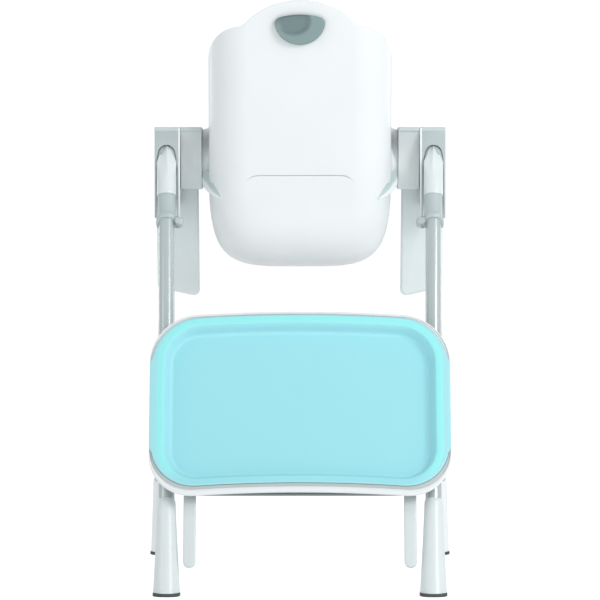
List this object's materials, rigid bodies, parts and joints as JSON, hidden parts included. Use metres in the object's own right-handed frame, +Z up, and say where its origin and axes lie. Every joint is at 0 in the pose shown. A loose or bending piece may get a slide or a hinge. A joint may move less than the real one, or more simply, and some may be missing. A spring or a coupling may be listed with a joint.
{
  "type": "high chair",
  "caption": "Folding high chair with a padded tub seat on height carriages, leaning tube legs, a recline handle, a leg rest and a tray stowed on the rear legs.",
  "frame": {"origin": "on the floor, at the middle of the footprint", "axes": "+Z up, +Y towards the front of the chair, +X to the right as seen from behind"},
  "size_m": [0.6072, 0.7767, 1.1009],
  "materials": {
    "white_plastic": "satin",
    "grey_plastic": "satin",
    "tube_paint": "gloss",
    "steel": "plain",
    "sole_rubber": "matt",
    "aqua_plastic": "satin",
    "pad_fabric": "woven",
    "webbing": "woven"
  },
  "bodies": {
    "frame": {"column_left": "white_plastic", "column_right": "white_plastic", "column_cap_left": "white_plastic", "column_cap_right": "white_plastic", "front_tube_left": "tube_paint", "front_tube_right": "tube_paint", "front_boot_left": "white_plastic", "front_boot_right": "white_plastic", "front_sole_left": "sole_rubber", "front_sole_right": "sole_rubber", "front_cross_tube": "tube_paint", "leg_head_left": "white_plastic", "leg_head_right": "white_plastic", "fold_pin_left": "steel", "fold_pin_right": "steel"},
    "rear_frame": {"rear_knuckle_left": "white_plastic", "rear_knuckle_right": "white_plastic", "rear_tube_left": "tube_paint", "rear_tube_right": "tube_paint", "rear_shoe_left": "white_plastic", "rear_shoe_right": "white_plastic", "rear_sole_left": "sole_rubber", "rear_sole_right": "sole_rubber", "rear_cross_tube": "tube_paint"},
    "collar_left": {"fold_collar_left": "grey_plastic"},
    "collar_right": {"fold_collar_right": "grey_plastic"},
    "carriage": {"carriage_left": "white_plastic", "carriage_right": "white_plastic", "recline_axle_left": "steel", "recline_axle_right": "steel"},
    "button_left": {"height_button_left": "grey_plastic"},
    "button_right": {"height_button_right": "grey_plastic"},
    "seat": {"back_shell": "white_plastic", "seat_bucket": "white_plastic", "back_cushion": "pad_fabric", "seat_cushion": "pad_fabric", "shoulder_strap_left": "webbing", "shoulder_strap_right": "webbing", "waist_strap_left": "webbing", "waist_strap_right": "webbing", "crotch_strap": "webbing", "buckle": "grey_plastic", "lever_pin": "steel", "legrest_pin": "steel"},
    "buckle_release": {"buckle_button": "aqua_plastic"},
    "handle": {"recline_lever": "grey_plastic"},
    "pull_rod": {"recline_rod": "steel"},
    "legrest": {"legrest_panel": "white_plastic", "foot_ledge": "white_plastic"},
    "tray": {"tray_base": "white_plastic", "tray_arm_left": "white_plastic", "tray_arm_right": "white_plastic", "tray_hook_left": "white_plastic", "tray_hook_right": "white_plastic"},
    "tray_catch": {"tray_release": "grey_plastic"},
    "insert": {"tray_insert": "aqua_plastic"}
  },
  "joints": [
    {"name": "fold", "type": "hinge", "parent": "frame", "child": "rear_frame", "pos_m": [0, -0.02373, 0.812], "axis": [1, 0, 0], "range_deg": [0, 44]},
    {"name": "collar_left_lift", "type": "slide", "parent": "rear_frame", "child": "collar_left", "axis": [-0.012, 0.381, 0.9245], "range_m": [0, 0.008], "stiffness_N_per_m": 600},
    {"name": "collar_right_lift", "type": "slide", "parent": "rear_frame", "child": "collar_right", "axis": [0.012, 0.381, 0.9245], "range_m": [0, 0.008], "stiffness_N_per_m": 600},
    {"name": "seat_height", "type": "slide", "parent": "frame", "child": "carriage", "axis": [0, -0.3746, 0.9272], "range_m": [-0.2, 0]},
    {"name": "button_left_press", "type": "slide", "parent": "carriage", "child": "button_left", "axis": [0, -0.9272, -0.3746], "range_m": [0, 0.005], "stiffness_N_per_m": 1200},
    {"name": "button_right_press", "type": "slide", "parent": "carriage", "child": "button_right", "axis": [0, -0.9272, -0.3746], "range_m": [0, 0.005], "stiffness_N_per_m": 1200},
    {"name": "recline", "type": "hinge", "parent": "carriage", "child": "seat", "pos_m": [0, 0.08037, 0.8025], "axis": [1, 0, 0], "range_deg": [0, 28]},
    {"name": "buckle_press", "type": "slide", "parent": "seat", "child": "buckle_release", "axis": [0, 0, -1], "range_m": [0, 0.003], "stiffness_N_per_m": 800},
    {"name": "handle_lift", "type": "hinge", "parent": "seat", "child": "handle", "pos_m": [0, -0.14887, 1.065], "axis": [-1, 0, 0], "range_deg": [0, 18], "stiffness_Nm_per_rad": 0.5},
    {"name": "rod_pull", "type": "slide", "parent": "seat", "child": "pull_rod", "axis": [0, -0.1834, 0.983], "range_m": [0, 0.0062]},
    {"name": "legrest_swing", "type": "hinge", "parent": "seat", "child": "legrest", "pos_m": [0, 0.238, 0.631], "axis": [1, 0, 0], "range_deg": [-75, 0]},
    {"name": "tray_lift", "type": "slide", "parent": "rear_frame", "child": "tray", "axis": [0, 0.3811, 0.9245], "range_m": [0, 0.04]},
    {"name": "insert_lift", "type": "slide", "parent": "tray", "child": "insert", "axis": [0, -0.9245, 0.3811], "range_m": [0, 0.05]},
    {"name": "tray_release_pull", "type": "slide", "parent": "tray", "child": "tray_catch", "axis": [0, 0.3811, 0.9245], "range_m": [0, 0.008], "stiffness_N_per_m": 500}
  ],
  "couplings": [
    {"joint": "rod_pull", "follows": "handle_lift", "m_per_rad": 0.019}
  ]
}
